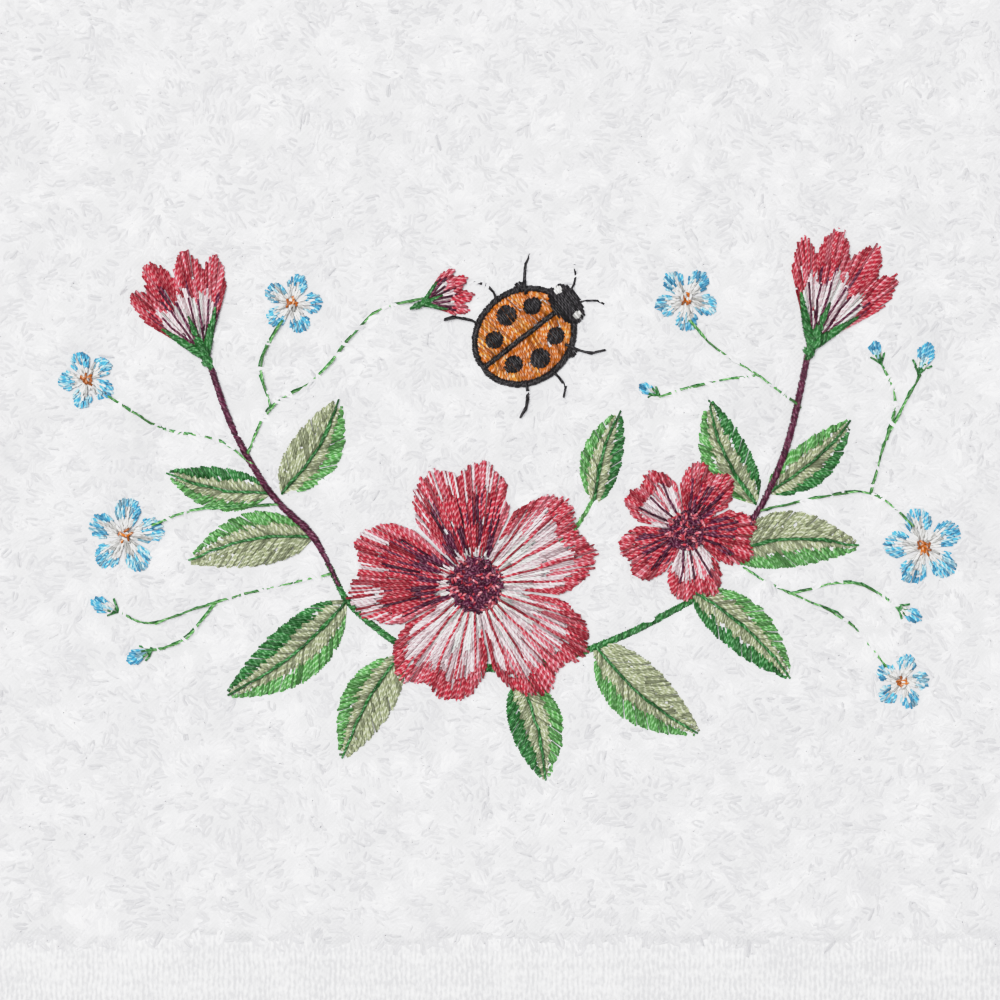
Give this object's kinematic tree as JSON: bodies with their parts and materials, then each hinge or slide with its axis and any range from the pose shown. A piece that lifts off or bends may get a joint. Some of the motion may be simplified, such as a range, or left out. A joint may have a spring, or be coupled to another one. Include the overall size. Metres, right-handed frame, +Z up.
{
  "type": "hand towel",
  "caption": "Flat terry hand towel with looped cotton pile, a flat woven band near each end, folded hems and an embroidered flower spray.",
  "frame": {"origin": "middle of the flat underside, on the surface the towel lies on", "axes": "+X across the towel from selvedge to selvedge, +Y along it towards the end without embroidery, +Z up out of the embroidered face"},
  "size_m": [0.4074, 0.711, 0.0054],
  "materials": {
    "terry_cotton": "white looped cotton pile, matt",
    "embroidery_thread": "satin rayon thread, in crimson, plum, pink, greens, sky blue, orange, white and black"
  },
  "bodies": {
    "root": {"towel": "terry_cotton"}
  },
  "joints": []
}
